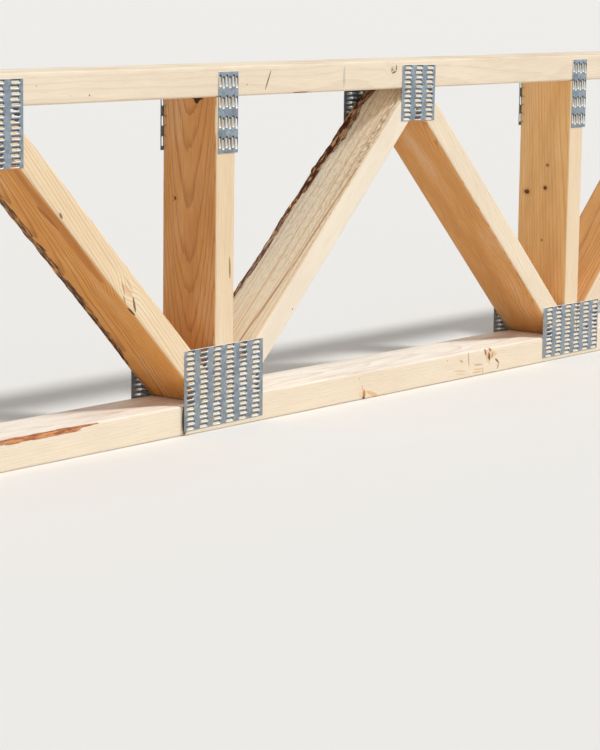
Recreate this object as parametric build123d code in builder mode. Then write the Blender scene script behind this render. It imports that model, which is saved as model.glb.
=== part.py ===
"""Open-web floor truss: flat two-by-fours between two chords, joined by toothed nail plates.

X runs along the span, Y across the width of the boards, Z up.
The origin is under the middle of the bottom chord. All sizes are in millimetres.
"""
import os
from math import asin, atan2, cos, hypot, sin

from build123d import *

os.makedirs("parts", exist_ok=True)

# Dressed two-by-four, laid flat, so that its wide face is across the truss
lumber_thick = 38.1
lumber_wide = 88.9
eased_edge = 3.2

# Layout of the truss
span = 3657.6
depth = 457.2
post_pitch = 812.8
post_count = 3
end_plies = 2

# Saw cuts at the two ends of a web
foot_seat = 24.0
head_seat = 25.0
saw_gap = 0.3

# Toothed nail plates, stamped from galvanised sheet
plate_thick = 0.9
slot_long = 12.7
slot_wide = 3.2
slot_pitch_long = 25.4
slot_pitch_wide = 6.35
slot_stagger = 0.8
plate_inset = 6.5

# Sizes of the plates: along the slots, then across them
small_apex_plate = (76.2, 76.2)
large_apex_plate = (101.6, 101.6)
foot_plate = (152.4, 101.6)
middle_foot_plate = (152.4, 76.2)
heel_plate = (127.0, 101.6)
post_plate = (101.6, 38.1)
end_plate = (76.2, 57.15)

# How far the press set the plates at the post tops beside their posts: right in front, left behind
post_plate_shift = 3.5

# The two faces of the truss, by the way they look along Y
outward_of = {"front": -1, "back": 1}

# Places that follow from the sizes above
clear_height = depth - 2 * lumber_thick
top_chord_base = depth - lumber_thick
end_block = end_plies * lumber_thick
post_places = [(i - (post_count - 1) / 2) * post_pitch for i in range(post_count)]
apex_places = [post_places[0] - post_pitch / 2] + [x + post_pitch / 2 for x in post_places]
foot_faces = [-span / 2 + end_block] + [x + lumber_thick / 2 for x in post_places]


def chord(name, base):
    """One full-length board, laid flat with its underside at the height base."""
    end_face = Plane(origin=(-span / 2, 0, base + lumber_thick / 2), x_dir=(0, 1, 0), z_dir=(1, 0, 0))
    with BuildPart() as board:
        with BuildSketch(end_face):
            RectangleRounded(lumber_wide, lumber_thick, eased_edge)
        extrude(amount=span)
    save(board, name)


def upright(name, x):
    """One short board between the chords, standing on end with its middle at x."""
    with BuildPart() as board:
        with BuildSketch(Plane(origin=(x, 0, lumber_thick))):
            RectangleRounded(lumber_thick, lumber_wide, eased_edge)
        extrude(amount=clear_height)
    save(board, name)


def web(name, foot_face, apex):
    """One sloping board, double-cut at each end.

    At the foot it butts the upright's face and has a short level seat on the bottom chord.
    At the head it meets its partner on the apex line under a level seat on the top chord.
    """
    lean = 1 if apex > foot_face else -1
    lower_corner = foot_face + lean * foot_seat
    upper_corner = apex - lean * head_seat
    diagonal = hypot(upper_corner - lower_corner, clear_height)
    slope = atan2(clear_height, abs(upper_corner - lower_corner)) - asin(lumber_thick / diagonal)
    along = (lean * cos(slope), 0, sin(slope))
    middle = ((lower_corner + upper_corner) / 2, 0, depth / 2)
    foot_cut = Plane(origin=(foot_face + lean * saw_gap, 0, 0), z_dir=(lean, 0, 0))
    head_cut = Plane(origin=(apex - lean * saw_gap / 2, 0, 0), z_dir=(lean, 0, 0))
    with BuildPart() as board:
        with BuildSketch(Plane(origin=middle, x_dir=(0, 1, 0), z_dir=along)):
            RectangleRounded(lumber_wide, lumber_thick, eased_edge)
        extrude(amount=diagonal, both=True)
        split(bisect_by=foot_cut, keep=Keep.TOP)
        split(bisect_by=head_cut, keep=Keep.BOTTOM)
        split(bisect_by=Plane.XY.offset(lumber_thick), keep=Keep.TOP)
        split(bisect_by=Plane.XY.offset(top_chord_base), keep=Keep.BOTTOM)
    save(board, name)


def plate_sheet(size, turn):
    """The flat stamped sheet: a rectangle with every slot that a pair of teeth was bent out of.

    Neighbouring slots are staggered along their length, so that the teeth don't line up.
    """
    columns = round(size[0] / slot_pitch_long)
    rows = round(size[1] / slot_pitch_wide)
    centres = []
    for i in range(columns):
        for j in range(rows):
            stagger = slot_stagger if j % 2 else -slot_stagger
            along = (i - (columns - 1) / 2) * slot_pitch_long + stagger
            across = (j - (rows - 1) / 2) * slot_pitch_wide
            centres.append((along, across))
    with BuildSketch(Plane.XY.rotated((0, 0, turn))) as sheet:
        Rectangle(*size)
        with Locations(*centres):
            Rectangle(slot_long, slot_wide, mode=Mode.SUBTRACT)
    return sheet.sketch


def plate(name, side, size, x, z, turn=0):
    """One plate pressed into the front or the back face, with its middle at x and z.

    Its slots run level, or upright when it is turned by 90 degrees.
    """
    outward = outward_of[side]
    wood_face = outward * lumber_wide / 2
    face = Plane(origin=(x, wood_face, z), x_dir=(-outward, 0, 0), z_dir=(0, outward, 0))
    with BuildPart() as stamped:
        with BuildSketch(face):
            add(plate_sheet(size, turn))
        extrude(amount=plate_thick)
    save(stamped, f"{name}_{side}")


def save(piece, name):
    """Label one finished piece and write it."""
    piece.part.label = name
    export_step(piece.part, f"parts/{name}.step")


def low_middle(height):
    """Height of the middle of a plate whose lower edge is inset on the bottom chord."""
    return plate_inset + height / 2


def high_middle(height):
    """Height of the middle of a plate whose upper edge is inset on the top chord."""
    return depth - plate_inset - height / 2


# Chords
chord("bottom_chord", 0)
chord("top_chord", top_chord_base)

# Posts between the bays, and the doubled posts at the two ends
for i, x in enumerate(post_places):
    upright(f"post_{i + 1}", x)
for side, outward in (("left", -1), ("right", 1)):
    for ply in range(end_plies):
        upright(f"end_post_{side}_{ply + 1}", outward * (span / 2 - (ply + 0.5) * lumber_thick))

# A rising and a falling web in each bay
for i, apex in enumerate(apex_places):
    web(f"web_{i + 1}_rising", foot_faces[i], apex)
    web(f"web_{i + 1}_falling", -foot_faces[-1 - i], apex)

for face, outward in outward_of.items():
    # Plates where two webs meet under the top chord: the middle ones are smaller in front
    for i, apex in enumerate(apex_places):
        small = face == "front" and i not in (0, post_count)
        size = small_apex_plate if small else large_apex_plate
        plate(f"apex_plate_{i + 1}", face, size, apex, high_middle(size[1]))

    # Plates at the foot and at the top of each post
    for i, x in enumerate(post_places):
        size = middle_foot_plate if 2 * i + 1 == post_count else foot_plate
        plate(f"foot_plate_{i + 1}", face, size, x, low_middle(size[1]))
        beside = x - outward * post_plate_shift
        plate(f"post_plate_{i + 1}", face, post_plate, beside, high_middle(post_plate[0]), turn=90)

    # Plates at the heels, and on the doubled posts under the top chord
    for end, direction in (("left", -1), ("right", 1)):
        heel = direction * (span / 2 - plate_inset - heel_plate[0] / 2)
        plate(f"heel_plate_{end}", face, heel_plate, heel, low_middle(heel_plate[1]))
        over_posts = direction * (span / 2 - end_block / 2)
        plate(f"end_plate_{end}", face, end_plate, over_posts, high_middle(end_plate[0]), turn=90)
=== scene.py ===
"""Looks of an open-web floor truss: dressed softwood boards and toothed zinc plates, in a plain studio.

Lengths in this file are millimetres, turned into metres where a mesh or a shader is written, or the
camera is placed.
X runs along the span, Y from the front face to the back face, Z up.
"""
import logging
import math
from dataclasses import dataclass, field
from enum import Enum
from typing import Any, Callable

import bpy
import numpy as np
from mathutils import Matrix, Vector


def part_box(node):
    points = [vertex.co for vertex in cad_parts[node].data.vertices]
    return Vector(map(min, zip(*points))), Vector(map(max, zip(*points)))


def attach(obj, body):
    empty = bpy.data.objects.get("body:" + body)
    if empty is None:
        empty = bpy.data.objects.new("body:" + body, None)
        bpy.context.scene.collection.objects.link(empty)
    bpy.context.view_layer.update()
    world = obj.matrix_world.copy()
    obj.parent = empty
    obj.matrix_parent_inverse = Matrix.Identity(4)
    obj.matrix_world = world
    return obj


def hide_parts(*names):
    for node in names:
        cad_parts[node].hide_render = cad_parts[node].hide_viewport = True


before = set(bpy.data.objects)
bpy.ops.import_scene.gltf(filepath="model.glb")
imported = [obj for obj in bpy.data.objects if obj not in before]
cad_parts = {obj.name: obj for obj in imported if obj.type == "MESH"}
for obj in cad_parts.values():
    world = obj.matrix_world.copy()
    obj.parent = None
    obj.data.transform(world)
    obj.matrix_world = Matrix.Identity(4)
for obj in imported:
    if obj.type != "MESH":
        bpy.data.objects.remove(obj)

log = logging.getLogger("floor_truss")
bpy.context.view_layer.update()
MM = 0.001
# Where knots and marks lie: across the board on its front face, and through it on the rise side
FRONT = -44
FACE = 19
# How dark a mark is that sinks in
SUNK = 0.7

# A screen colour has red, green and blue from 0 to 255
Colour = tuple[int, int, int]
Pair = tuple[float, float]
Place = tuple[float, float, float]


def paint(colour: Colour) -> tuple[float, ...]:
    """Turns a screen colour into a shader's, by the sRGB standard's own curve.

    Args:
        colour: the screen colour.

    Returns:
        Linear red, green and blue, and an alpha of 1.
    """
    screen = np.array(colour) / 255
    linear = np.where(screen <= 0.04045, screen / 12.92, ((screen + 0.055) / 1.055) ** 2.4)
    return (*linear.tolist(), 1.0)


# Shader arithmetic

def operator(operation: str, reflected: bool = False) -> Callable[["Value", Any], "Value"]:
    """Makes an operator that adds a Math node of a Value and something else.

    Args:
        operation: what the node does.
        reflected: whether the other one comes first.

    Returns:
        The operator.
    """
    def apply(value: "Value", other: Any) -> "Value":
        """Adds the node."""
        return value.nodes.math(operation, *((other, value) if reflected else (value, other)))

    return apply


class Value:
    """A shader socket that takes part in Python arithmetic."""

    __add__ = __radd__ = operator("ADD")
    __sub__ = operator("SUBTRACT")
    __rsub__ = operator("SUBTRACT", reflected=True)
    __mul__ = __rmul__ = operator("MULTIPLY")
    __truediv__ = operator("DIVIDE")
    __rtruediv__ = operator("DIVIDE", reflected=True)
    __pow__ = operator("POWER")

    def __init__(self, nodes: "Nodes", socket: bpy.types.NodeSocket) -> None:
        """Wraps one output socket of a node tree."""
        self.nodes = nodes
        self.socket = socket

    def math(self, operation: str, *others: Any) -> "Value":
        """A Math node of this value and the others, in that order."""
        return self.nodes.math(operation, self, *others)

    def smooth(self, low: Any, high: Any) -> "Value":
        """0 below low, 1 above high and a smooth step between them. low may be the larger one."""
        inputs = {0: self, 1: low, 2: high, 3: 0.0, 4: 1.0}
        return self.nodes.node("ShaderNodeMapRange", {"interpolation_type": "SMOOTHSTEP"}, inputs)

    def clamp(self) -> "Value":
        """This, kept between 0 and 1."""
        return self.nodes.node("ShaderNodeClamp", {}, {0: self})


Triple = tuple[Value, Value, Value]


class Nodes:
    """A node tree, built up by expressions."""

    def __init__(self, tree: bpy.types.NodeTree) -> None:
        """Takes a tree over and empties it."""
        self.tree = tree
        self.tree.nodes.clear()

    def feed(self, node: bpy.types.Node, inputs: dict[Any, Any]) -> None:
        """Fills sockets of a node.

        Args:
            node: the node.
            inputs: a value, or a Value to link, for each socket by number or name.
        """
        for key, value in inputs.items():
            if isinstance(value, Value):
                self.tree.links.new(value.socket, node.inputs[key])
            else:
                node.inputs[key].default_value = value

    def add(self, kind: str, settings: dict[str, Any], inputs: dict[Any, Any]) -> bpy.types.Node:
        """Adds any node.

        Args:
            kind: the node's type.
            settings: its properties, set before its sockets.
            inputs: what its sockets are fed with.

        Returns:
            The node.
        """
        made = self.tree.nodes.new(kind)
        for key, setting in settings.items():
            setattr(made, key, setting)
        self.feed(made, inputs)
        return made

    def node(self, kind: str, settings: dict[str, Any], inputs: dict[Any, Any], output: Any = 0) -> Value:
        """Adds any node and gives one of its outputs, by number or name."""
        return Value(self, self.add(kind, settings, inputs).outputs[output])

    def math(self, operation: str, *inputs: Any) -> Value:
        """Adds a Math node."""
        return self.node("ShaderNodeMath", {"operation": operation}, dict(enumerate(inputs)))


class Sheet(Nodes):
    """One material's node tree."""

    def __init__(self, name: str) -> None:
        """Starts an empty material with a Principled shader at its output.

        Args:
            name: the material's name.
        """
        self.material = bpy.data.materials.new(name)
        self.material.use_nodes = True
        super().__init__(self.material.node_tree)
        self.shader = self.add("ShaderNodeBsdfPrincipled", {}, {})
        self.add("ShaderNodeOutputMaterial", {}, {0: Value(self, self.shader.outputs[0])})

    def place(self) -> Triple:
        """Finds where the shaded point lies on the object.

        Returns:
            Its X, Y and Z in millimetres.
        """
        point = self.node("ShaderNodeTexCoord", {}, {}, "Object")
        split = [self.node("ShaderNodeSeparateXYZ", {}, {0: point}, axis) for axis in range(3)]
        return split[0] * (1 / MM), split[1] * (1 / MM), split[2] * (1 / MM)

    def join(self, x: Any, y: Any, z: Any) -> Value:
        """A vector of three values."""
        return self.node("ShaderNodeCombineXYZ", {}, {0: x, 1: y, 2: z})

    def noise(self, point: tuple[Any, Any, Any], detail: float = 2.0, roughness: float = 0.5) -> Value:
        """Smooth noise from 0 to 1, one wave per unit of the point."""
        inputs = {"Vector": self.join(*point), "Scale": 1.0, "Detail": detail, "Roughness": roughness}
        return self.node("ShaderNodeTexNoise", {}, inputs)

    def blend(self, factor: Any, first: Any, second: Any) -> Value:
        """Mixes two colours.

        Args:
            factor: how much of the second is taken, from 0 to 1.
            first, second: the colours, each a Value or a screen colour.

        Returns:
            The mixed colour.
        """
        first, second = (paint(colour) if isinstance(colour, tuple) else colour for colour in (first, second))
        settings = {"data_type": "RGBA", "clamp_factor": True}
        return self.node("ShaderNodeMix", settings, {0: factor, 6: first, 7: second}, 2)

    def coat(self, colour: Any, *coats: tuple[Any, Any]) -> Any:
        """Lays coats over a colour, one after the other.

        Args:
            colour: the colour underneath.
            coats: for each one, how much of what is under it it covers, and its colour.

        Returns:
            The colour on top.
        """
        for cover, upper in coats:
            colour = self.blend(cover, colour, upper)
        return colour

    def attribute(self, name: str) -> Value:
        """A number that the mesh carries for each corner of its faces."""
        return self.node("ShaderNodeAttribute", {"attribute_name": name}, {}, "Fac")

    def finish(self, colour: Value, roughness: Any, height: Value, lift: float) -> None:
        """Feeds the shader.

        Args:
            colour: the base colour.
            roughness: the roughness, a number or a Value.
            height: the relief, from 0 to 1.
            lift: how far a height of 1 stands out, in millimetres.
        """
        bump = self.node("ShaderNodeBump", {}, {"Height": height, "Distance": lift * MM, "Strength": 1.0})
        self.feed(self.shader, {"Base Color": colour, "Normal": bump, "Roughness": roughness})


# Shapes

def write_mesh(name: str, points: np.ndarray, faces: list, smooth_angle: float) -> bpy.types.Object:
    """Makes a mesh object at the origin.

    Args:
        name: the object's name.
        points: its vertices in millimetres, one row each.
        faces: lists of vertex numbers, anticlockwise seen from outside.
        smooth_angle: edges sharper than this, in degrees, stay sharp.

    Returns:
        The new object.
    """
    mesh = bpy.data.meshes.new(name)
    mesh.from_pydata((points * MM).tolist(), [], faces)
    mesh.polygons.foreach_set("use_smooth", [True] * len(mesh.polygons))
    mesh.set_sharp_from_angle(angle=math.radians(smooth_angle))
    mesh.update()
    piece = bpy.data.objects.new(name, mesh)
    bpy.context.scene.collection.objects.link(piece)
    return piece


def carry(piece: bpy.types.Object, name: str, values: np.ndarray, corners: int, beyond: float = 0.0) -> None:
    """Stores one number under a name for each corner of each face of a piece.

    Args:
        piece: the piece.
        name: the number's name.
        values: the number at each vertex.
        corners: how many corners, from the first face on, take their vertex's number.
        beyond: the number at all the later corners.
    """
    vertex = np.empty(len(piece.data.loops), dtype=np.int32)
    piece.data.loops.foreach_get("vertex_index", vertex)
    spread = values.ravel()[vertex].astype(np.float32)
    spread[corners:] = beyond
    attribute = piece.data.attributes.new(name, "FLOAT", "CORNER")
    attribute.data.foreach_set("value", spread)


def waver(along: np.ndarray, around: np.ndarray, reach: float, seed: int) -> np.ndarray:
    """Smooth random relief from -1 to 1: the mean of six cosine waves with seeded directions and phases.

    Args:
        along, around: the two parameters of the surface.
        reach: the length of a typical wave.
        seed: picks the waves.

    Returns:
        The relief, in the shape of the parameters.
    """
    dice = np.random.default_rng(seed)
    turn = dice.uniform(0, 2 * np.pi, (6, 2))
    stretch = dice.uniform(0.6, 1.7, 6)
    waves = []
    for (heading, phase), count in zip(turn, stretch):
        ahead = along * np.cos(heading) + around * np.sin(heading)
        waves.append(np.cos(2 * np.pi * count / reach * ahead + phase))
    return np.mean(waves, axis=0)


# Boards

class Kind(Enum):
    """How a board stands in the truss."""

    CHORD = "chord"
    POST = "post"
    WEB = "web"


@dataclass(frozen=True)
class Knot:
    """A branch that crosses a board.

    Attributes:
        along, across, through: its place on the board.
        radius: its radius.
        swirl: how far it pushes the growth rings aside.
        dark: how strongly the branch itself shows. At 0 only the swirl in the grain is left.
    """

    along: float
    across: float
    through: float
    radius: float
    swirl: float = 6.0
    dark: float = 0.92


@dataclass(frozen=True)
class Mark:
    """A speck, streak, smear or crack: a spindle between two places on the board.

    Attributes:
        first, last: its two tips, each along, across and through.
        width: half its width in the middle.
        dark: how much of the wood's colour it covers. From SUNK on, it lies in a hollow too.
        colour: its colour.
        ragged: how torn its edge is.
    """

    first: Place
    last: Place
    width: float
    dark: float = 0.8
    colour: Colour = (92, 55, 30)
    ragged: float = 0.9


def scars(*rows: tuple[Any, ...]) -> tuple[Mark, ...]:
    """Marks on the front face.

    Args:
        rows: for each mark its first tip, along and through, its last tip, and the rest of its fields.

    Returns:
        The marks.
    """
    return tuple(Mark((row[0], FRONT, row[1]), (row[2], FRONT, row[3]), *row[4:]) for row in rows)


@dataclass(frozen=True)
class Wane:
    """A stretch where a long edge of the board is missing, back to the outside of the log.

    Attributes:
        across: -1 for the front edge, 1 for the back edge.
        through: 1 for the wide face on the board's rise side, -1 for the other one.
        start, end: where it begins and stops along the board.
        width, depth: how much of the wide face and of the narrow face is missing in its middle.
        taper: how soon it grows to that from its ends. At 0.5 its outline is an ellipse.
        lump: how rough it is, and the length of a typical wave in it.
        sway, nick: the same for the slow and for the quick waves in its outline.
    """

    across: int
    through: int
    start: float
    end: float
    width: float
    depth: float
    taper: float = 0.4
    lump: Pair = (0.16, 15.0)
    sway: Pair = (0.2, 52.0)
    nick: Pair = (0.12, 13.0)


@dataclass(frozen=True)
class Dip:
    """A stretch where the front face lies deeper.

    Attributes:
        start, end: where it begins and stops along the board.
        fade: how long its two ends take to fade.
        depth: how deep it is.
    """

    start: float
    end: float
    fade: Pair
    depth: float


@dataclass(frozen=True)
class Lumber:
    """Finish of one dressed softwood board.

    Growth rings are tubes about a pith line that lies beside the board and leans a little, so that they
    show as fine lines on narrow faces and as long arches on wide ones. Knots push the rings aside.

    Attributes:
        narrow: colour of the two narrow faces.
        wide: colour of the wide face on the rise side. On posts and webs its tan is partly the wood's tone
            and
        partly painted warm shade. The other one is halfway to the narrow ones.
        late: colour of the dense lines between the rings.
        bark, knot, chip: colours of bark, of a knot's darkest wood, and of the wood where bark came off.
        ring_width: distance between rings.
        pith: where the pith line starts, across and through the board.
        lean: how far the pith line drifts across and through, for each unit along.
        sway: how far the rings wander.
        ripple: how far they waver within a few centimetres.
        contrast: how strongly the lines show on the wide faces.
        weather: how grey and fuzzy the wide face on the rise side is.
        seed: moves the noise, so that no two boards are alike.
    """

    narrow: Colour = (241, 221, 191)
    # On posts and webs this tan is partly painted warm shade
    wide: Colour = (232, 174, 108)
    late: Colour = (168, 104, 50)
    bark: Colour = (74, 42, 22)
    knot: Colour = (104, 56, 26)
    chip: Colour = (244, 198, 146)
    ring_width: float = 3.6
    pith: Pair = (14.0, -66.0)
    lean: Pair = (0.01, 0.03)
    sway: float = 5.0
    ripple: float = 1.3
    contrast: float = 0.5
    weather: float = 0.0
    seed: int = 1

    def dress(self, board: "Board") -> bpy.types.Material:
        """Builds the board's material.

        The pattern is worked out in the board's own directions: along, across and through.

        Args:
            board: the board that is dressed, which gives its directions, knots and marks.

        Returns:
            The material.
        """
        sheet = Sheet(f"{board.node}_lumber")
        x, y, z = sheet.place()
        off_x, off_z = x - board.start[0], z - board.start[1]
        along = off_x * board.run[0] + off_z * board.run[1]
        through = off_x * board.rise[0] + off_z * board.rise[1]
        place = (along, y, through)
        shift = 37.0 * self.seed

        # Noise, drawn out along the grain
        slow = sheet.noise((along / 260 + shift, y / 60, through / 60), 1.0)
        quick = sheet.noise((along / 60 + shift, y / 9, through / 9), 2.0)
        blotch = sheet.noise((along / 150 + shift, y / 30, through / 30), 2.0)
        fibre = sheet.noise((along / 34 + shift, y * 1.1, through * 1.1), 3.0, 0.62)
        dash = sheet.noise((along / 7 + shift, y * 1.3, through * 1.3), 1.0)

        # Growth rings, each with a dense line towards its end
        knotted, halo, push = self._knots(board.knots, place, quick)
        radius = self._radius(place) + (slow - 0.5) * (2 * self.sway) + (quick - 0.5) * self.ripple + push
        uneven = sheet.noise((radius / 13, shift, 0.0), 1.0)
        ring = (radius + uneven * 7.0) / self.ring_width
        turn = ring.math("FRACT")
        year = sheet.noise((ring.math("FLOOR") * 0.73, shift, 0.0), 0.0)
        line = turn.smooth(0.5, 0.94) ** 1.6 * turn.smooth(1.0, 0.96) * (year * 1.8 + 0.1).clamp()

        # Plain faces, the rise side's tan wide face partly painted warm shade, then what grew in the wood,
        # then what happened to it
        wide_face = sheet.attribute("wide").smooth(0.3, 0.95)
        end_face = sheet.attribute("end")
        strength = (wide_face * 0.55 + end_face * 0.55 + 0.45) * self.contrast
        colour = sheet.coat(
            self.narrow,
            (wide_face, sheet.coat(self.wide, (0.5, self.narrow), (through.smooth(-12.0, 12.0), self.wide))),
            (blotch.smooth(0.4, 0.75) * (wide_face * 0.2 + 0.07), self.late),
            (blotch.smooth(0.5, 0.2) * 0.2, (255, 244, 222)),
            (line * strength, self.late),
            (fibre.smooth(0.5, 0.76) * (wide_face * 0.2 + 0.16), self.late),
            (fibre.smooth(0.5, 0.25) * 0.2, (255, 248, 230)),
            (dash.smooth(0.66, 0.8) * 0.18, self.late),
            (end_face * 0.5, (196, 150, 98)))
        relief = line * 0.4 + fibre * 0.6
        if self.weather:
            colour, relief = self._weathered(sheet, place, (colour, relief), wide_face, shift)
        if board.knots:
            branch = sheet.blend(quick.smooth(0.35, 0.65), self.knot, self.bark)
            colour = sheet.coat(colour, (halo * 0.3, self.late), (knotted, branch))
            relief = relief - knotted * 0.5
        for mark in board.marks:
            cover = self._mark(mark, place, quick)
            colour = sheet.blend(cover * mark.dark, colour, mark.colour)
            if mark.dark >= SUNK:
                relief = relief - cover * 0.6
        if board.wanes:
            bare = (sheet.attribute("bark") + (fibre - 0.5) * 0.8).smooth(0.25, 0.45)
            torn = sheet.noise((along / 16 + shift, y / 3.0, through / 3.0), 2.0, 0.6)
            chipped, cracked = torn.smooth(0.52, 0.6) * 0.85, torn.smooth(0.46, 0.34) * 0.85
            crust = sheet.coat(self.bark, (chipped, self.chip), (cracked, self.knot))
            colour = sheet.blend(bare, colour, crust)
            relief = relief + bare * torn * 5.0
        sheet.finish(colour, 0.7 - line * 0.1, relief, 0.2)
        sheet.shader.inputs["Specular IOR Level"].default_value = 0.25
        return sheet.material

    def _radius(self, place: Triple) -> Value:
        """Distance of the shaded point from the pith line.

        Args:
            place: along, across and through.

        Returns:
            The distance.
        """
        off_across = place[1] - (place[0] * self.lean[0] + self.pith[0])
        off_through = place[2] - (place[0] * self.lean[1] + self.pith[1])
        return (off_across * off_across + off_through * off_through) ** 0.5

    def _knots(self, knots: tuple[Knot, ...], place: Triple, rough: Value) -> tuple[Any, Any, Any]:
        """Works out what the knots of a board do at the shaded point.

        Args:
            knots: the knots.
            place: along, across and through.
            rough: noise for their edges.

        Returns:
            How much of a knot covers the point, how near one is, and how far they push the rings.
        """
        knotted: Any = 0.0
        halo: Any = 0.0
        push: Any = 0.0
        for knot in knots:
            size = knot.radius
            away = self._distance(knot, place)
            push = (away * away * (-1 / (2.2 * size) ** 2)).math("EXPONENT") * knot.swirl + push
            inside = (away + (rough - 0.5) * (0.5 * size)).smooth(1.15 * size, 0.85 * size)
            knotted = (inside * knot.dark).math("MAXIMUM", knotted)
            halo = (away.smooth(2.6 * size, 0.9 * size) * knot.dark).math("MAXIMUM", halo)
        return knotted, halo, push

    def _distance(self, knot: Knot, place: Triple) -> Value:
        """Distance of the shaded point from a knot's own line, which points away from the pith.

        Args:
            knot: the knot, which looks a little longer along the board than across it.
            place: along, across and through.

        Returns:
            The distance.
        """
        across = knot.across - self.pith[0] - self.lean[0] * knot.along
        through = knot.through - self.pith[1] - self.lean[1] * knot.along
        size = math.hypot(across, through)
        side = (place[1] - knot.across) * (through / size) - (place[2] - knot.through) * (across / size)
        ahead = (place[0] - knot.along) * 0.8
        return (side * side + ahead * ahead) ** 0.5

    def _mark(self, mark: Mark, place: Triple, rough: Value) -> Value:
        """How much of a mark covers the shaded point, by its distance from the line between the tips.

        Args:
            mark: the mark. Where its tips are the same, it is drawn out a little along the board.
            place: along, across and through.
            rough: noise for its edge.

        Returns:
            The cover, from 0 to 1.
        """
        step = np.subtract(mark.last, mark.first)
        step = step + np.array([0.5, 0, 0]) * (step @ step < 0.25)
        pace = [float(part / (step @ step)) for part in step]
        off = [value - tip for value, tip in zip(place, mark.first)]
        share = (off[0] * pace[0] + off[1] * pace[1] + off[2] * pace[2]).clamp()
        gap = [value - share * float(part) for value, part in zip(off, step)]
        away = (gap[0] * gap[0] + gap[1] * gap[1] + gap[2] * gap[2]) ** 0.5
        belly = (1.0 - (share * 2.0 - 1.0) ** 2.0 * 0.6) * mark.width
        return (away / belly + (rough - 0.5) * mark.ragged).smooth(1.1, 0.6)

    def _weathered(
            self, sheet: Sheet, place: Triple, finish: tuple[Value, Value],
            wide_face: Value, shift: float) -> tuple[Value, Value]:
        """Greys one wide face and covers it with short slanting lines of lifted grain.

        Near its foot the board is cleaner, and painted paler as painted light. Further up, its front edge has
        a band of chatter marks.

        Args:
            sheet: the material's sheet.
            place: along, across and through.
            finish: the colour and the relief so far.
            wide_face: 1 on the wide faces.
            shift: moves the noise.

        Returns:
            The new colour and relief.
        """
        along, across, through = place
        area = wide_face * through.smooth(0.0, 4.0) * self.weather
        # 0 at the foot, where the face is painted paler, as painted light, and has less fuzz; 1 further up
        wear_and_shade = along.smooth(20.0, 330.0)
        fuzz = sheet.noise(((along + across * 1.3) / 9 + shift, across * 0.75, 0.0), 2.0, 0.6)
        streak = sheet.noise((along / 240 + shift, across / 4.0, 0.0), 2.0, 0.6)
        chatter = sheet.noise(((along + across * 2.0) / 5 + shift, across * 0.3, 0.0), 1.0)
        band = across.smooth(-43.0, -39.0) * across.smooth(-28.0, -33.0) * along.smooth(300.0, 380.0)
        grey = sheet.blend(across.smooth(-34.0, 30.0), (252, 234, 205), (236, 227, 208))
        # Painted light: paler near the foot
        grey = sheet.blend(wear_and_shade, (255, 244, 217), grey)
        streaked = sheet.blend(wear_and_shade, (240, 192, 134), (196, 152, 102))
        grey = sheet.coat(
            grey,
            (streak.smooth(0.5, 0.6) * (0.6 - wear_and_shade * 0.15), streaked),
            (fuzz.smooth(0.5, 0.62) * (wear_and_shade * 0.4 + 0.08), (158, 132, 100)),
            (chatter.smooth(0.48, 0.6) * band * 0.7, (140, 106, 66)))
        return sheet.blend(area * 0.95, finish[0], grey), finish[1] + area * fuzz * 0.6


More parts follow.
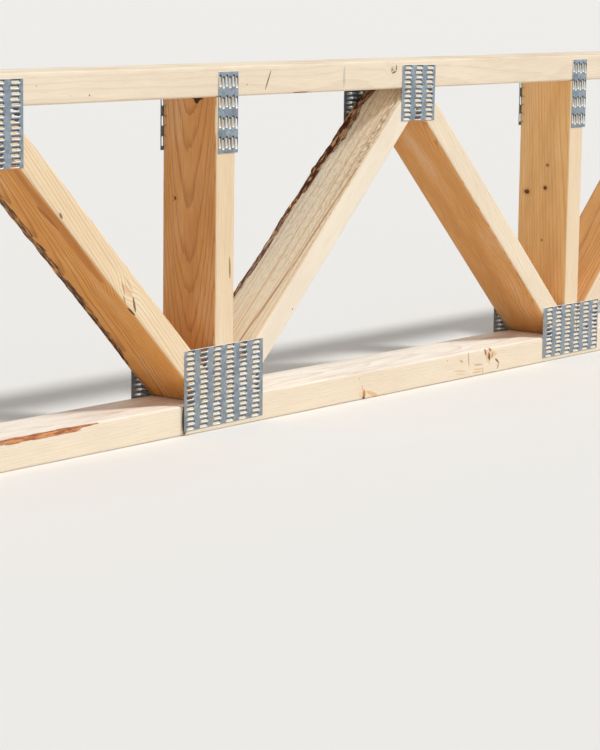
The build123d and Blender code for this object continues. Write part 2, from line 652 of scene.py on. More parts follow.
@dataclass
class Board:
    """One dressed two-by-four, laid flat: a rounded section carried from one end cut to the other.

    Attributes:
        node: the CAD node that it stands for.
        kind: how it stands in the truss.
        finish: its lumber.
        knots, marks, wanes, dips: what sets it apart.
        eased: radius of its long edges.
        slim: how much thinner than its CAD node each wide face makes it.
        planed, warp: how deep a planed face lies on average and how far it wavers, and the length of a
            typical wave in it.
        corner_points, side_points, face_points: how many points of the section lie on each rounded edge,
            and between the edges on each narrow and on each wide face.
        spacing, wane_spacing: distance between the sections along a board, and along one with wanes.
        thick, wide: the size of its section.
        foot_seat, head_seat: how much of a web rests flat on each chord.
        start: the middle of its foot, by X and Z.
        run, rise: its directions along and through, by X and Z. The rise side is the top of a chord and
            the left side of a post or a web.
    """

    node: str
    kind: Kind
    finish: Lumber
    knots: tuple[Knot, ...] = ()
    marks: tuple[Mark, ...] = ()
    wanes: tuple[Wane, ...] = ()
    dips: tuple[Dip, ...] = ()
    eased: float = 3.2
    slim: float = 0.1
    planed: float = 0.1
    warp: float = 160.0
    corner_points: int = 6
    side_points: int = 5
    face_points: int = 13
    spacing: float = 14.0
    wane_spacing: float = 5.0
    thick: float = 38.1
    wide: float = 88.9
    foot_seat: float = 24.0
    head_seat: float = 25.0
    start: Pair = field(init=False)
    run: Pair = field(init=False)
    rise: Pair = field(init=False)

    def __post_init__(self) -> None:
        """Reads the board's place from its CAD node and works out its directions."""
        self.low, self.high = (np.array(corner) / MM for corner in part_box(self.node))
        middle = (self.low + self.high) / 2
        slope, foot, off = math.pi / 2, (middle[0], self.low[2]), 0.0
        if self.kind is Kind.CHORD:
            slope, foot = 0.0, (self.low[0], middle[2])
        elif self.kind is Kind.WEB:
            slope, foot, off = self._web_line()
        self.run = (math.cos(slope), math.sin(slope))
        self.rise = (-self.run[1], self.run[0])
        self.start = (float(foot[0] + off * self.rise[0]), float(foot[1] + off * self.rise[1]))

    def _web_line(self) -> tuple[float, Pair, float]:
        """Finds the line of a web, one face of which ends at the foot seat and the other at the head seat.

        Returns:
            Its slope, the end of the foot seat, and how far its middle lies from that on the rise side.
        """
        width = self.high[0] - self.low[0] - self.foot_seat - self.head_seat
        height = self.high[2] - self.low[2]
        slope = math.atan2(height, width) - math.asin(self.thick / math.hypot(width, height))
        if self.node.endswith("rising"):
            return slope, (self.low[0] + self.foot_seat, self.low[2]), self.thick / 2
        return math.pi - slope, (self.high[0] - self.foot_seat, self.low[2]), -self.thick / 2

    def _ends(self, through: np.ndarray) -> tuple[np.ndarray, np.ndarray]:
        """Finds where the board starts and stops along itself.

        Each end is the nearer of its saw cuts: the lines x or z = constant that bound the CAD node.

        Args:
            through: heights through the board.

        Returns:
            The first and the last place along the board at each height.
        """
        starts, stops = [], []
        for axis in (0, 1):
            pace = self.run[axis]
            if abs(pace) < 1e-6:
                continue
            offset = self.start[axis] + through * self.rise[axis]
            bounds = (self.low[2 * axis], self.high[2 * axis])
            first, last = sorted(bounds, key=lambda place: place * math.copysign(1, pace))
            starts.append((first - offset) / pace)
            stops.append((last - offset) / pace)
        return np.max(starts, axis=0), np.min(stops, axis=0)

    def _section(self) -> tuple[np.ndarray, np.ndarray, int]:
        """The rounded section.

        The front side comes first, then the wide face on the rise side, and so on round. Each corner is a
        quarter circle. The narrow sides also have the heights at which an end's two saw cuts meet.

        Returns:
            Across and through at each point of one turn, and how many points a narrow side has.
        """
        corner = np.linspace(0, math.pi / 2, self.corner_points)
        flat = self.thick / 2 - self.eased
        side = self.wide / 2 - self.eased
        levels = np.linspace(-flat, flat, self.side_points + 2)[1:-1]
        if self.kind is Kind.WEB:
            foot = self.low[0] if self.run[0] > 0 else self.high[0]
            head = self.high[0] if self.run[0] > 0 else self.low[0]
            for x, z in ((foot, self.low[2]), (head, self.high[2])):
                meet = (x - self.start[0]) * self.rise[0] + (z - self.start[1]) * self.rise[1]
                levels = np.append(levels, meet)
        levels = np.unique(np.round(levels, 4))
        near, far = self.eased * np.cos(corner), self.eased * np.sin(corner)
        straight = np.full(len(levels), -self.wide / 2)
        front_across = np.concatenate([-side - far, straight, -side - near])
        front_through = np.concatenate([-flat - near, levels, flat + far])
        face_across = np.linspace(-side, side, self.face_points + 2)[1:-1]
        face_through = np.full(len(face_across), self.thick / 2)
        across = np.concatenate([front_across, face_across, -front_across[::-1], face_across[::-1]])
        through = np.concatenate([front_through, face_through, front_through[::-1], -face_through])
        return across, through, len(front_across)

    def _surface(self) -> tuple[np.ndarray, np.ndarray, np.ndarray]:
        """The board's skin: the section carried along its axis, then sunk by a faint waver, dips and wanes.

        Returns:
            The vertices by row along and column around, how much each belongs to a wide face, and how bare
            of dressed wood it is.
        """
        across, through, _ = self._section()
        first, last = self._ends(through)
        rows = int((last - first).max() / (self.wane_spacing if self.wanes else self.spacing))
        share = np.linspace(0, 1, rows)[:, None]
        along = first + share * (last - first)
        across = np.broadcast_to(across, along.shape).copy()
        through = np.broadcast_to(through, along.shape).copy()
        wide_share = np.clip((np.abs(through) - self.thick / 2 + self.eased) / self.eased, 0, 1)
        sink = self.planed + self.planed * waver(along, across * 2 + through, self.warp, self.finish.seed)
        new_across = across - np.sign(across) * sink * (1 - wide_share)
        new_through = through - np.sign(through) * (sink + self.slim) * wide_share
        # A dip fades out between 2 and 10 behind the front face
        front = np.clip((-across - self.wide / 2 + 10) / 8, 0, 1)
        for dip in self.dips:
            near = np.minimum((along - dip.start) / dip.fade[0], (dip.end - along) / dip.fade[1])
            near = np.clip(near, 0, 1)
            new_across = new_across + front * dip.depth * near * near * (3 - 2 * near)
        bare = np.zeros(along.shape)
        for wane in self.wanes:
            lack = self._lack(wane, along, across, through)
            width, depth = wane.width, wane.depth
            reach = 1 / (1 / width ** 2 + 1 / depth ** 2)
            lump = 1 + wane.lump[0] * waver(along, across * 2, wane.lump[1], self.finish.seed + 7)
            missing = np.clip(lack, 0, None) * lump
            new_across = new_across - wane.across * missing * reach / width
            new_through = new_through - wane.through * missing * reach / depth
            bare = np.maximum(bare, np.clip(lack * 4 + 0.3, 0, 1))
        x = self.start[0] + along * self.run[0] + new_through * self.rise[0]
        z = self.start[1] + along * self.run[1] + new_through * self.rise[1]
        return np.stack([x, new_across, z], -1), wide_share, bare

    def _lack(self, wane: Wane, along: np.ndarray, across: np.ndarray, through: np.ndarray) -> np.ndarray:
        """Finds how far each vertex lies outside a wane's slanting plane.

        The plane cuts off the wane's width and depth. Both swell from its ends and waver.

        Args:
            wane: the wane.
            along, across, through: the vertices.

        Returns:
            0 on the plane and 1 at the missing corner.
        """
        middle, half = (wane.start + wane.end) / 2, (wane.end - wane.start) / 2
        swell = np.clip(1 - ((along - middle) / half) ** 2, 1e-4, 1) ** wane.taper
        slow = wane.sway[0] * waver(along, along * 0, wane.sway[1], self.finish.seed + 3)
        quick = wane.nick[0] * waver(along, along * 0, wane.nick[1], self.finish.seed + 5)
        ragged = 1 + slow + quick
        from_narrow = self.wide / 2 - across * wane.across
        from_wide = self.thick / 2 - through * wane.through
        return 1 - (from_narrow / wane.width + from_wide / wane.depth) / (swell * ragged)

    def build(self) -> None:
        """Makes the board, dresses it and lets it stand for its CAD node."""
        grid, wide_share, bare = self._surface()
        rows, columns = wide_share.shape
        _, _, side = self._section()
        row, column = np.meshgrid(np.arange(rows - 1), np.arange(columns), indexing="ij")
        after = (column + 1) % columns
        here, ahead = row * columns, (row + 1) * columns
        skin = np.stack([here + column, ahead + column, ahead + after, here + after], -1)
        faces = skin.reshape(-1, 4).tolist()
        faces += self._cap(0, side, columns, False) + self._cap((rows - 1) * columns, side, columns, True)
        piece = write_mesh(f"{self.node}_board", grid.reshape(-1, 3), faces, smooth_angle=40)
        corners = 4 * (rows - 1) * columns
        carry(piece, "wide", wide_share, corners)
        carry(piece, "bark", bare, corners)
        carry(piece, "end", wide_share * 0, corners, 1.0)
        piece.data.materials.append(self.finish.dress(self))
        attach(piece, "root")
        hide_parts(self.node)
        log.info("%s: %d faces", piece.name, len(piece.data.polygons))

    def _cap(self, offset: int, side: int, columns: int, far: bool) -> list[list[int]]:
        """Closes one end with rungs from the front side to the back side.

        Args:
            offset: the number of the end row's first vertex.
            side: how many points a narrow side has.
            columns: how many points one turn has.
            far: whether this is the end away from the start.

        Returns:
            The faces. The last two take in the points of the wide faces.
        """
        front = np.arange(side)
        back = side + (columns - 2 * side) // 2 + np.arange(side)[::-1]
        rungs = [[front[k], front[k + 1], back[k + 1], back[k]] for k in range(1, side - 2)]
        upper = [front[side - 2], *range(side - 1, back[side - 1] + 1), back[side - 2]]
        lower = [front[1], back[1], *range(back[0], columns), front[0]]
        faces = [[int(offset + point) for point in face] for face in (*rungs, upper, lower)]
        return [face[::-1] for face in faces] if far else faces


# Nail plates

@dataclass(frozen=True)
class Zinc:
    """Finish of the galvanised plates: dull blue-grey zinc, faintly spangled, scuffed and smeared.

    Attributes:
        base, pale, dull: its three greys.
        burnish_and_highlight: painted highlight on the lower edges of the slots and on the top of the plate's
            edge, and a
        faint burnished paleness on its other edges.
        grime_and_shade: small dark specks of dirt, and painted shade on the upper edges of the slots.
        dust: how much pale dust lies on it.
    """

    base: Colour = (130, 143, 154)
    pale: Colour = (188, 197, 204)
    dull: Colour = (98, 110, 121)
    burnish_and_highlight: Colour = (234, 234, 228)
    grime_and_shade: Colour = (56, 48, 42)
    dust: float = 0.0

    def dress(self) -> bpy.types.Material:
        """Builds a material for plates with this finish.

        Returns:
            The material.
        """
        sheet = Sheet("dusty_zinc" if self.dust else "clean_zinc")
        x, y, z = sheet.place()
        cells = {"Vector": sheet.join(x / 5, y / 5, z / 5), "Scale": 1.0}
        spangle = sheet.node("ShaderNodeTexVoronoi", {"feature": "F1"}, cells, "Color")
        tint = sheet.node("ShaderNodeSeparateColor", {}, {0: spangle})
        scuff = sheet.noise((x / 1.6, y, z / 9), 2.0)
        cloud = sheet.noise((x / 24, y / 24, z / 24), 3.0, 0.6)
        speck = sheet.noise((x / 1.7, y / 1.7, z / 1.7), 1.0)
        lip_light_and_burnish = sheet.attribute("lip_light_and_burnish")
        colour = sheet.coat(
            self.base,
            (tint * 0.4, self.pale),
            (cloud.smooth(0.42, 0.7) * 0.42, self.dull),
            (scuff.smooth(0.6, 0.78) * 0.45, self.pale),
            (cloud.smooth(0.6, 0.3) * self.dust, (160, 156, 146)),
            (speck.smooth(0.7, 0.78) * 0.5, self.grime_and_shade),
            # Painted highlight on the slots' lower edges and on the plate's upper edge, a faint burnished
            # paleness on its other edges, and painted shade on the slots' upper edges
            (lip_light_and_burnish.clamp(), self.burnish_and_highlight),
            ((lip_light_and_burnish * -1.0).clamp(), self.grime_and_shade))
        roughness = 0.52 - tint * 0.1 + cloud * 0.12
        sheet.finish(colour, roughness, scuff * 0.4 + speck * 0.6, 0.03)
        sheet.shader.inputs["Metallic"].default_value = 0.5
        return sheet.material


@dataclass
class NailPlate:
    """A zinc plate punched with rows of slots, each the root of two teeth that were bent into the wood.

    Attributes:
        node: the CAD node that it stands for.
        upright: whether its slots stand upright.
        tilt: how far the press turned it anticlockwise, in degrees, seen from its own side.
        slide: how far its slots are off centre, along themselves.
        thick: its thickness.
        slot_long, slot_wide, pitch_long, pitch_wide, stagger: the slots' size and how they are spaced.
        blunt: how much of a slot's end is rounded off.
        roll, flare: how far the metal is drawn in at a slot's ends and at its sides.
        upper_draw, lower_draw: how much further it is drawn in at the upper and the lower edge.
        slot_painted_light: how strongly the slots' lower edges are painted with highlight and their upper
            ones with shade.
        chamfer: the rubbed corner of the plate's own edge.
        tooth_long, tooth_thick: how deep the teeth reach, and how thick they are at the root.
        tooth_tip, tooth_lean: half the width of a tooth's tip, and how far it leans in.
        bite: how far a tooth's root lies within the metal.
    """

    node: str
    upright: bool = False
    tilt: float = 0.0
    slide: float = 0.0
    thick: float = 0.9
    slot_long: float = 12.7
    slot_wide: float = 3.2
    pitch_long: float = 25.4
    pitch_wide: float = 6.35
    stagger: float = 1.0
    blunt: float = 1.0
    roll: float = 0.8
    flare: float = 0.55
    upper_draw: float = 1.7
    lower_draw: float = 1.3
    slot_painted_light: float = 0.9
    chamfer: float = 0.3
    tooth_long: float = 8.0
    tooth_thick: float = 0.8
    tooth_tip: float = 0.5
    tooth_lean: float = 1.0
    bite: float = 0.1

    def build(self, zinc: bpy.types.Material) -> None:
        """Makes the plate, dresses it and lets it stand for its CAD node.

        Args:
            zinc: its material.
        """
        low, high = (np.array(corner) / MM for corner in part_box(self.node))
        middle = (low + high) / 2
        width, height = (high - low)[::2]
        size = (height, width) if self.upright else (width, height)
        outward = -1 if self.node.endswith("front") else 1
        points, faces, lips = self._sheet(size)
        along, across, out = points[:, :3].T
        if self.upright:
            along, across = -across, along
        turn = math.radians(self.tilt)
        east = along * math.cos(turn) - across * math.sin(turn)
        north = along * math.sin(turn) + across * math.cos(turn)
        wood = middle[1] - outward * self.thick / 2
        placed = np.stack([middle[0] - outward * east, wood + outward * out, middle[2] + north], -1)
        piece = write_mesh(f"{self.node}_zinc", placed, faces, smooth_angle=50)
        carry(piece, "lip_light_and_burnish", points[:, 3], 4 * lips)
        piece.data.materials.append(zinc)
        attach(piece, "root")
        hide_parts(self.node)
        log.info("%s: %d faces", piece.name, len(piece.data.polygons))

    def _outline(self) -> np.ndarray:
        """Draws a slot's outline, anticlockwise: two straight sides and two blunt round ends.

        Returns:
            Its points, along the slot and across it.
        """
        long, wide = self.slot_long / 2, self.slot_wide / 2
        inner = long - self.blunt
        right = np.array([(inner, -wide), (long, -wide / 2), (long, wide / 2), (inner, wide)])
        return np.concatenate([right, -right])

    def _sheet(self, size: Pair) -> tuple[np.ndarray, list[list[int]], int]:
        """The whole plate, face up, with its middle at the origin.

        The plate is a grid of cells, one for each slot. In each cell the slot's outline repeats at four
        depths, widest on the face: its sides and ends roll down where the punch drew the metal in. The upper
        edge is drawn in most and ends in a burr that hangs over the hole. It carries painted shade, and the
        lower edge a painted highlight.

        Args:
            size: along the slots and across them.

        Returns:
            The vertices, each with the painted light on its edges, from -1 for shade to 1 for highlight, the
            faces, and how many of the faces, from the first on, are the edges of slots and of the plate.
        """
        columns, rows = round(size[0] / self.pitch_long), round(size[1] / self.pitch_wide)
        i, j = (grid.ravel() for grid in np.meshgrid(np.arange(columns), np.arange(rows), indexing="ij"))
        stagger = np.where(j % 2, self.stagger, -self.stagger) + self.slide
        slot_long = (i - (columns - 1) / 2) * self.pitch_long + stagger
        slot_centre = np.stack([slot_long, (j - (rows - 1) / 2) * self.pitch_wide], -1)
        outline = self._outline()
        count = len(outline)
        up = 0 if self.upright else 1
        # How far each depth is drawn in, as a share, and its height over the wood
        depths = ((1.0, self.thick), (0.6, self.thick - 0.1), (0.2, self.thick - 0.38), (0.0, 0.0))
        block = len(depths) * count
        start = len(i) * block
        rings = []
        for spread, height in depths:
            reach = np.tile(np.array([self.roll, self.flare]) * spread, (count, 1))
            burr = (self.roll, self.flare)[up] * (1.5 * spread - 0.5) * self.upper_draw
            reach[:, up] = np.where(outline[:, up] > 0, burr, reach[:, up] * self.lower_draw)
            pushed = outline + np.sign(outline) * reach
            ring = slot_centre[:, None, :] + pushed[None]
            # Painted light on the slot's edges: a highlight on the lower one and shade on the upper one
            painted_light = -self.slot_painted_light * np.clip(pushed[:, up] / self.slot_wide * 2, -1, 1)
            extra = np.stack([np.full(ring.shape[:2], height), np.broadcast_to(painted_light, ring.shape[:2])], -1)
            rings.append(np.concatenate([ring, extra], -1))
        edge, rim = self._edge(columns, rows, start)
        teeth, tooth_faces = self._teeth(slot_centre, start + len(edge))
        # Painted highlight on the plate's upper edge, and a faint burnished paleness on its other edges
        edge_light_and_burnish = np.where(edge[:, up] > edge[:, up].max() - 0.5, 1.0, 0.2)
        edge, teeth = np.column_stack([edge, edge_light_and_burnish]), np.pad(teeth, ((0, 0), (0, 1)))
        points = np.concatenate([np.stack(rings, 1).reshape(-1, 4), edge, teeth])
        base = np.arange(len(i))[:, None] * block
        step = np.arange(count)
        after = (step + 1) % count
        faces: list[list[int]] = []
        for depth in range(len(depths) - 1):
            upper, lower = base + depth * count, base + (depth + 1) * count
            wall = np.stack([upper + step, upper + after, lower + after, lower + step], -1)
            faces += wall.reshape(-1, 4).tolist()
        faces += rim
        lips = len(faces)
        right, above = np.array([1, 1, 0, 0]), np.array([0, 1, 1, 0])
        front = start + (i[:, None] + right) * (rows + 1) + j[:, None] + above
        back = front + (columns + 1) * (rows + 1)
        faces += self._cell(base, front, count, False)
        faces += self._cell(base + block - count, back, count, True)
        return points, faces + tooth_faces, lips

    def _edge(self, columns: int, rows: int, start: int) -> tuple[np.ndarray, list[list[int]]]:
        """The corners of the cells and the plate's own edge, which is sheared square with a small chamfer.

        Args:
            columns, rows: how many cells there are.
            start: the number of the first vertex.

        Returns:
            The cells' corners on the face, those on the back and the loop under the chamfer, and then the
            edge's faces.
        """
        reach = np.array([columns * self.pitch_long, rows * self.pitch_wide]) / 2
        u = np.linspace(-reach[0], reach[0], columns + 1)
        v = np.linspace(-reach[1], reach[1], rows + 1)
        back = np.stack([grid.ravel() for grid in np.meshgrid(u, v, indexing="ij")], -1)
        front = np.clip(back, self.chamfer - reach, reach - self.chamfer)
        number = np.arange(len(back)).reshape(columns + 1, rows + 1)
        loop = np.concatenate([number[:, 0], number[-1, 1:], number[-2::-1, -1], number[0, -2:0:-1]])
        levels = ((front, self.thick), (back, 0.0), (back[loop], self.thick - self.chamfer))
        points = np.concatenate([
            np.pad(place, ((0, 0), (0, 1)), constant_values=height) for place, height in levels])
        upper = start + loop
        lower = upper + len(back)
        between = start + 2 * len(back) + np.arange(len(loop))
        faces = []
        for first, second in ((upper, between), (between, lower)):
            faces += np.stack([first, second, np.roll(second, -1), np.roll(first, -1)], -1).tolist()
        return points, faces

    def _teeth(self, centre: np.ndarray, start: int) -> tuple[np.ndarray, list[list[int]]]:
        """Two teeth for each slot, bent down from its ends into the wood: flat wedges that lean inwards.

        Args:
            centre: the middles of the slots.
            start: the number of the first vertex.

        Returns:
            The vertices, six for each tooth, and its closed set of faces.
        """
        root, half = self.slot_long / 2 + self.bite, self.slot_wide / 2 - self.bite
        outer, tip = root + self.tooth_thick, root - self.tooth_lean
        wedge = np.array([
            (outer, -half, self.bite), (outer, half, self.bite), (root, half, self.bite),
            (root, -half, self.bite), (tip, -self.tooth_tip, -self.tooth_long),
            (tip, self.tooth_tip, -self.tooth_long)])
        pair = np.stack([wedge, wedge * (-1, -1, 1)])
        points = np.zeros((len(centre), 2, 6, 3))
        points[..., :2] = centre[:, None, None, :]
        points += pair[None]
        first = start + np.arange(2 * len(centre))[:, None] * 6
        faces: list[list[int]] = []
        for part in ((0, 1, 2, 3), (0, 4, 5, 1), (2, 5, 4, 3), (0, 3, 4), (1, 5, 2)):
            faces += (first + np.array(part)).tolist()
        return points.reshape(-1, 3), faces

    def _cell(self, ring: np.ndarray, corner: np.ndarray, count: int, under: bool) -> list[list[int]]:
        """The flat metal round each slot: four sides, and the corner pieces between them.

        Args:
            ring: the number of the first vertex of each slot's outline.
            corner: the numbers of its cell's corners, anticlockwise from the lower right.
            count: how many vertices an outline has.
            under: whether this is the plate's back.

        Returns:
            The faces.
        """
        faces = []
        p = [ring[:, 0] + k for k in range(count)]
        for k in range(4):
            here, after, point = corner[:, k], corner[:, (k + 1) % 4], 2 * k + 1
            side = (here, after, p[(point + 1) % count], p[point])
            for part in (side, (here, p[point], p[point - 1])):
                strip = np.stack(part, -1)
                faces += (strip[:, ::-1] if under else strip).tolist()
        return faces


# Studio

@dataclass(frozen=True)
class Lamp:
    """A distant lamp of one strength everywhere.

    Attributes:
        name: its name.
        toward: the direction that it is seen in.
        strength: its strength.
        spread: the angle that it fills, in degrees.
    """

    name: str
    toward: Place
    strength: float
    spread: float

    def build(self) -> None:
        """Hangs the lamp up."""
        light = bpy.data.lights.new(self.name, "SUN")
        light.energy = self.strength
        light.angle = math.radians(self.spread)
        lamp = bpy.data.objects.new(self.name, light)
        bpy.context.scene.collection.objects.link(lamp)
        lamp.rotation_euler = (-Vector(self.toward)).to_track_quat("-Z", "Y").to_euler()


@dataclass
class Studio:
    """A pale floor, soft lamps and the camera.

    Attributes:
        eye: the camera's place.
        yaw, pitch, roll: its heading from the Y axis towards X, its dip and its roll, in degrees.
        lens, sensor: its focal length and the longer side of its sensor.
        floor, reach: the floor's colour and how far it reaches each way.
        glow: the strength of the soft light from all round.
        lamps: a key lamp and a fill lamp.
    """

    eye: Place = (-3167.9, -2044.0, 570.6)
    yaw: float = 51.45
    pitch: float = 9.21
    roll: float = 0.74
    lens: float = 118.6
    sensor: float = 36
    floor: Colour = (238, 237, 234)
    reach: float = 60000.0
    glow: float = 0.38
    lamps: tuple[Lamp, ...] = (
        Lamp("key_lamp", (0.35, -0.55, 0.85), 2.15, 8), Lamp("fill_lamp", (-0.7, -0.6, 0.45), 0.25, 60))

    def build(self) -> None:
        """Sets the studio up."""
        self._floor()
        self._world()
        for lamp in self.lamps:
            lamp.build()
        self._camera()

    def _floor(self) -> None:
        """A wide pale plane under the truss."""
        corners = [(x * self.reach, y * self.reach, 0.0) for x, y in ((-1, -1), (1, -1), (1, 1), (-1, 1))]
        floor = write_mesh("floor", np.array(corners), [[0, 1, 2, 3]], smooth_angle=40)
        sheet = Sheet("pale_floor")
        sheet.feed(sheet.shader, {"Base Color": paint(self.floor), "Roughness": 0.9})
        floor.data.materials.append(sheet.material)

    def _world(self) -> None:
        """White to the camera and to reflections, and a plain soft light for everything else."""
        world = bpy.data.worlds.new("studio")
        bpy.context.scene.world = world
        world.use_nodes = True
        nodes = Nodes(world.node_tree)
        kinds, white = ("Camera", "Glossy", "Transmission"), paint((255, 255, 255))
        rays = [nodes.node("ShaderNodeLightPath", {}, {}, f"Is {kind} Ray") for kind in kinds]
        clear = rays[0].math("MAXIMUM", rays[1]).math("MAXIMUM", rays[2])
        lit, seen = (nodes.node("ShaderNodeBackground", {}, {0: white, 1: glow}) for glow in (self.glow, 1.0))
        mix = nodes.node("ShaderNodeMixShader", {}, {0: clear, 1: lit, 2: seen})
        nodes.add("ShaderNodeOutputWorld", {}, {0: mix})

    def _camera(self) -> None:
        """The camera at the photograph's place, turned by yaw, dipped by pitch and rolled."""
        lens = bpy.data.cameras.new("camera")
        lens.lens = self.lens
        lens.sensor_width = self.sensor
        lens.clip_end = 200
        camera = bpy.data.objects.new("camera", lens)
        bpy.context.scene.collection.objects.link(camera)
        placed = Matrix.Translation(Vector(self.eye) * MM)
        for angle, axis in ((-self.yaw, "Z"), (90 - self.pitch, "X"), (self.roll, "Z")):
            placed = placed @ Matrix.Rotation(math.radians(angle), 4, axis)
        camera.matrix_world = placed
        bpy.context.scene.camera = camera


# The truss

# What the webs have in common: they are sawn a little thinner, and their edges are rounder
WEB: dict[str, Any] = {"kind": Kind.WEB, "eased": 4.4, "slim": 0.7}


@dataclass
class Truss:
    """All the boards and plates of the truss.

    Attributes:
        clean, dusty: the zinc of the plates under the top chord, and of those at the bottom chord.
    """

    clean: Zinc = field(default_factory=Zinc)
    dusty: Zinc = field(default_factory=lambda: Zinc(dust=0.5))

    def chords(self) -> list[Board]:
        """Describes the two chords with their marks.

        Returns:
            The top chord and the bottom chord.
        """
        top = Board(
            "top_chord", Kind.CHORD,
            Lumber(narrow=(240, 224, 199), wide=(244, 230, 204), bark=(196, 136, 82), contrast=0.2,
                   pith=(20, -58), seed=1),
            knots=(Knot(1366, FRONT, 6.8, 4.2, 12, 0.15),),
            marks=scars(
                (1362.4, 7, 1363.5, 7, 2.6, 0.9, (84, 48, 28)),
                (1371, 13, 1371, 5.5, 1.5, 0.85, (96, 58, 34), 0.4),
                (1370.4, 4.4, 1361, 2.2, 1.4, 0.85, (104, 64, 38), 0.4),
                (1359.8, 4, 1361.5, 11.5, 1.3, 0.75, (120, 76, 46), 0.4),
                (681.8, 3.1, 681.8, 3.1, 1.6), (737.3, -9.8, 737.3, -9.8, 1.3),
                (769.1, -10.8, 770, -9, 1.4), (1056.2, -5.6, 1056.6, -4.4, 1.5),
                (1091.8, -12.9, 1103.4, 12.0, 1.4, 0.85, (70, 42, 24), 0.6),
                (1255, -14, 1256, 14, 2.6, 0.3, (96, 134, 140), 1.6)),
            wanes=(Wane(-1, -1, 1140, 1200, 2.6, 2.2),))
        bottom = Board(
            "bottom_chord", Kind.CHORD,
            Lumber(narrow=(242, 227, 203), wide=(255, 249, 236), bark=(178, 112, 72),
                   knot=(128, 74, 46), chip=(214, 150, 98), contrast=0.2, pith=(-16, 60), seed=2),
            knots=(Knot(1310.8, FRONT, -12, 3.6, 8, 0.0), Knot(1616, FRONT, 6, 8, 8, 0.0)),
            marks=(
                # Painted shade: the dark band on the dipped face, in the gap under the edge of the first foot
                # plate
                Mark((943, -42, -18), (943, -42, 18), 4.0, 0.85, (84, 54, 32), 0.3),
                Mark((898, -43.5, 18.2), (936, -43.5, 18.8), 1.5, 0.8, (160, 96, 58)),
                *scars(
                    (902.5, 9.3, 903, 9, 1.2),
                    (1309, -5, 1310, -18, 6.0, 0.4, (222, 166, 84), 0.8),
                    (1311, -7, 1310.8, -18, 3.4, 0.85, (182, 112, 44), 0.5),
                    (1308, -16.5, 1313, -18.5, 2.8, 0.85, (84, 50, 24), 0.4),
                    (1306, 2, 1306.8, -5, 1.0, 0.6, (176, 120, 66)),
                    (1317, -9, 1341, -17.8, 3.6, 0.55, (222, 162, 76)),
                    (1301, -9, 1303, -18, 1.8, 0.35, (220, 170, 104)),
                    (1299, 11, 1300, 10, 1.2, 0.6),
                    (1600, 12, 1628, 9, 8.5, 0.4, (224, 168, 98), 1.3),
                    (1606, 10, 1612, -4, 5.0, 0.35, (214, 156, 84), 1.2),
                    (1599.5, 18.5, 1603.5, 9, 2.7, 0.8, (118, 72, 34)),
                    (1611.5, 18.5, 1615, 13.5, 2.9, 0.75, (118, 72, 34)),
                    (1610.5, 12, 1612.5, 1, 3.1, 0.9, (98, 56, 26)),
                    (1618, 4, 1621, 12, 2.4, 0.6, (190, 118, 64)),
                    (1627.5, 1, 1636.5, -5.5, 2.2, 0.85, (108, 70, 34)),
                    (1636.8, -5, 1633, -14, 2.4, 0.7, (180, 124, 58)),
                    (1558, 18.6, 1560.5, -3, 1.5, 0.65, (172, 112, 58)),
                    (1573, -1.8, 1596, -3.7, 1.8, 0.6, (196, 144, 78)),
                    (1571, -8.3, 1596, -9.8, 1.6, 0.45, (206, 152, 80)),
                    (1569, -12.2, 1596, -14, 1.6, 0.45, (206, 152, 80)),
                    (1595.5, -8, 1597, -18, 1.4, 0.5, (196, 144, 82)),
                    (1506, 12.7, 1507, 11.5, 1.6, 0.6, (150, 112, 72)),
                    (1537, 9, 1545, 6, 2.2, 0.55, (176, 130, 76), 1.4),
                    (1522, -5, 1552, -8, 1.2, 0.4, (196, 150, 94)),
                    (1528, -10, 1550, -12, 1.2, 0.3, (196, 150, 94)))),
            wanes=(Wane(-1, 1, 580, 800, 3.4, 4.0),),
            dips=(Dip(330, 947, (60, 2), 3.4),))
        return [top, bottom]

    def posts(self) -> list[Board]:
        """Describes the three posts between the bays.

        Returns:
            The posts, from left to right.
        """
        # The tan wide colours of the first two posts are partly painted warm shade
        first = Board(
            "post_1", Kind.POST,
            Lumber(narrow=(239, 214, 178), wide=(222, 162, 97), contrast=0.55, ring_width=2.1,
                   pith=(-2, -75), lean=(0.0, 0.04), sway=3.0, seed=11),
            knots=(Knot(251.6, 22.7, FACE, 1.8, 2),),
            marks=(
                Mark((385, -13, FACE), (376, -12, FACE), 11.5, 0.95, (34, 18, 10), 0.3),
                *scars((153, -10, 180, -9, 1.6, 0.75), (333, FACE, 375, FACE, 2.4, 0.7, (252, 240, 214)))))
        second = Board(
            "post_2", Kind.POST,
            Lumber(narrow=(240, 217, 184), wide=(252, 203, 136), contrast=0.27, pith=(-70, -60), seed=12),
            knots=(
                Knot(210.9, 29.0, FACE, 2.8, 3), Knot(218.6, -3.8, FACE, 2.4, 3),
                Knot(253.1, -6.9, FACE, 1.8, 2, 0.7), Knot(139, -0.3, FACE, 1.3, 1, 0.6)))
        third = Board(
            "post_3", Kind.POST, Lumber(pith=(10, -60), lean=(0.0, 0.05), seed=13),
            knots=(Knot(120, 8, FACE, 5),))
        return [first, second, third]

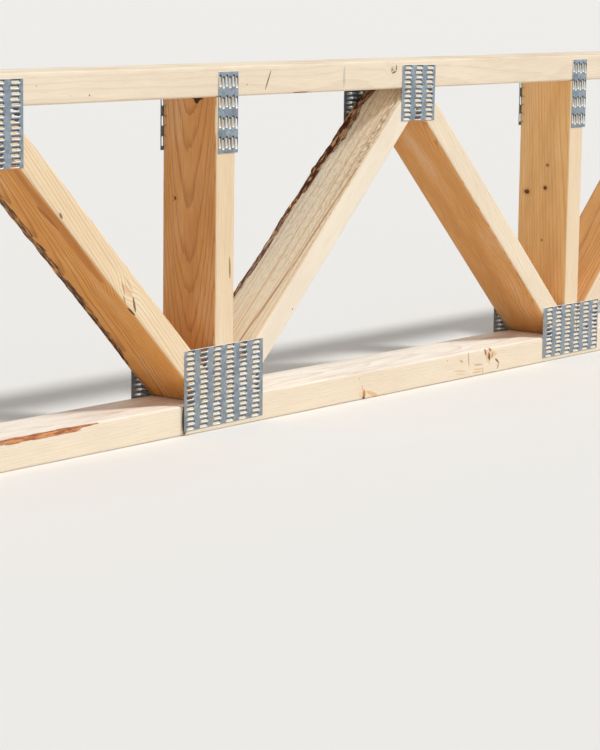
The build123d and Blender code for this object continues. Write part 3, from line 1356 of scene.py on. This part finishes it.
    def webs(self) -> list[Board]:
        """Describes the webs that the photograph shows in full, with their marks.

        Returns:
            The webs, from left to right.
        """
        # The tan wide colours of the two falling webs are partly painted warm shade
        left = Board(
            "web_1_falling", **WEB,
            finish=Lumber(narrow=(243, 218, 180), wide=(232, 163, 82), bark=(104, 62, 32),
                          knot=(36, 20, 10), chip=(232, 168, 92), contrast=0.7, ring_width=3.4,
                          pith=(30, 74), lean=(-0.03, -0.04), seed=31),
            knots=(Knot(208, FRONT, 8, 7, 8, 0.0),),
            marks=(
                *scars((352, 13.5, 360, 12, 2.0, 0.8)),
                Mark((376, -25, 18.4), (336, -30, 18.4), 4.0, 0.6, (146, 78, 34)),
                Mark((440, -36, 18.4), (240, -34, 18.4), 9.0, 0.4, (172, 94, 44), 1.2),
                *scars(
                    (216, 4, 196, 3, 4.5, 0.45, (214, 154, 96), 0.5),
                    (222, 2, 205, 11, 1.2, 0.7, (158, 100, 54), 0.5),
                    (222, -6, 198, -2, 1.2, 0.5, (184, 124, 72), 0.5),
                    (207, 13, 199, 16, 1.8, 0.6, (150, 96, 52)),
                    (193, 3, 177, 13, 2.3, 0.85, (96, 50, 28))),
                Mark((193, -43.5, 18.5), (174, -43.5, 16), 1.6, 0.9, (44, 24, 14))),
            wanes=(Wane(1, 1, 60, 520, 19.0, 5.0),))
        rising = Board(
            "web_2_rising", **WEB,
            finish=Lumber(narrow=(245, 232, 211), wide=(242, 222, 190), bark=(116, 68, 36),
                          knot=(48, 27, 15), chip=(255, 216, 162), contrast=0.24, weather=1.0,
                          pith=(-20, -90), lean=(0.02, 0.0), seed=32),
            marks=(
                Mark((40, -20, 18.2), (190, -33, 18.2), 2.4, 0.66, (178, 126, 66), 0.7),
                Mark((186, -33, 18.2), (360, -40, 18.2), 2.1, 0.66, (178, 126, 66), 0.7),
                *scars((136.4, -12, 139, -11, 1.4, 0.7), (193, 17, 195, 18, 1.2, 0.7))),
            wanes=(Wane(1, 1, 50, 520, 20.0, 12.0), Wane(1, 1, 270, 760, 34.0, 16.0)))
        falling = Board(
            "web_2_falling", **WEB,
            finish=Lumber(narrow=(243, 226, 199), wide=(226, 162, 92), contrast=0.52, ring_width=3.6,
                          pith=(-64, 60), lean=(0.05, -0.12), ripple=4.0, seed=33),
            knots=(Knot(40, 20, FACE, 24, -22, 0.0),))
        return [left, rising, falling]

    def boards(self) -> list[Board]:
        """Describes every board: those that the photograph shows well, and the others in plain lumber.

        Returns:
            The boards, those that show well first.
        """
        wood = self.chords() + self.posts() + self.webs()
        shown = {board.node for board in wood}
        rest = sorted(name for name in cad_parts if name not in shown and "plate" not in name)
        for k, name in enumerate(rest):
            dice = np.random.default_rng(100 + k)
            pith = (float(dice.uniform(-40, 40)), float(dice.choice([-1, 1]) * dice.uniform(50, 90)))
            finish = Lumber(pith=pith, lean=(0.0, float(dice.uniform(-0.08, 0.08))), seed=40 + k)
            along, across, radius = (float(dice.uniform(*reach)) for reach in ((80, 300), (-30, 30), (3, 7)))
            knots = (Knot(along, across, math.copysign(FACE, -pith[1]), radius),)
            shape = WEB if name.startswith("web") else {"kind": Kind.POST}
            wood.append(Board(name, finish=finish, knots=knots, **shape))
        return wood

    def plates(self) -> list[NailPlate]:
        """Describes the plates on both faces.

        Returns:
            The plates, in the order of their names.
        """
        tilt = {"apex_plate_2_front": -1.0, "foot_plate_1_front": 0.5}
        slide = {"foot_plate_1_front": -1.4, "foot_plate_2_front": 3.6}
        plates = []
        for name in sorted(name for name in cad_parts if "plate" in name):
            upright = name.startswith(("post", "end"))
            plates.append(NailPlate(name, upright, tilt.get(name, 0.0), slide.get(name, 0.0)))
        return plates

    def build(self) -> None:
        """Builds every board and plate."""
        for board in self.boards():
            board.build()
        clean, dusty = self.clean.dress(), self.dusty.dress()
        for plate in self.plates():
            plate.build(dusty if plate.node.startswith(("foot", "heel")) else clean)


def main() -> None:
    """Builds the truss and the studio."""
    logging.basicConfig(level=logging.INFO, format="%(message)s")
    bpy.context.scene.view_settings.view_transform = "Standard"
    Truss().build()
    Studio().build()


if __name__ == "__main__":
    main()
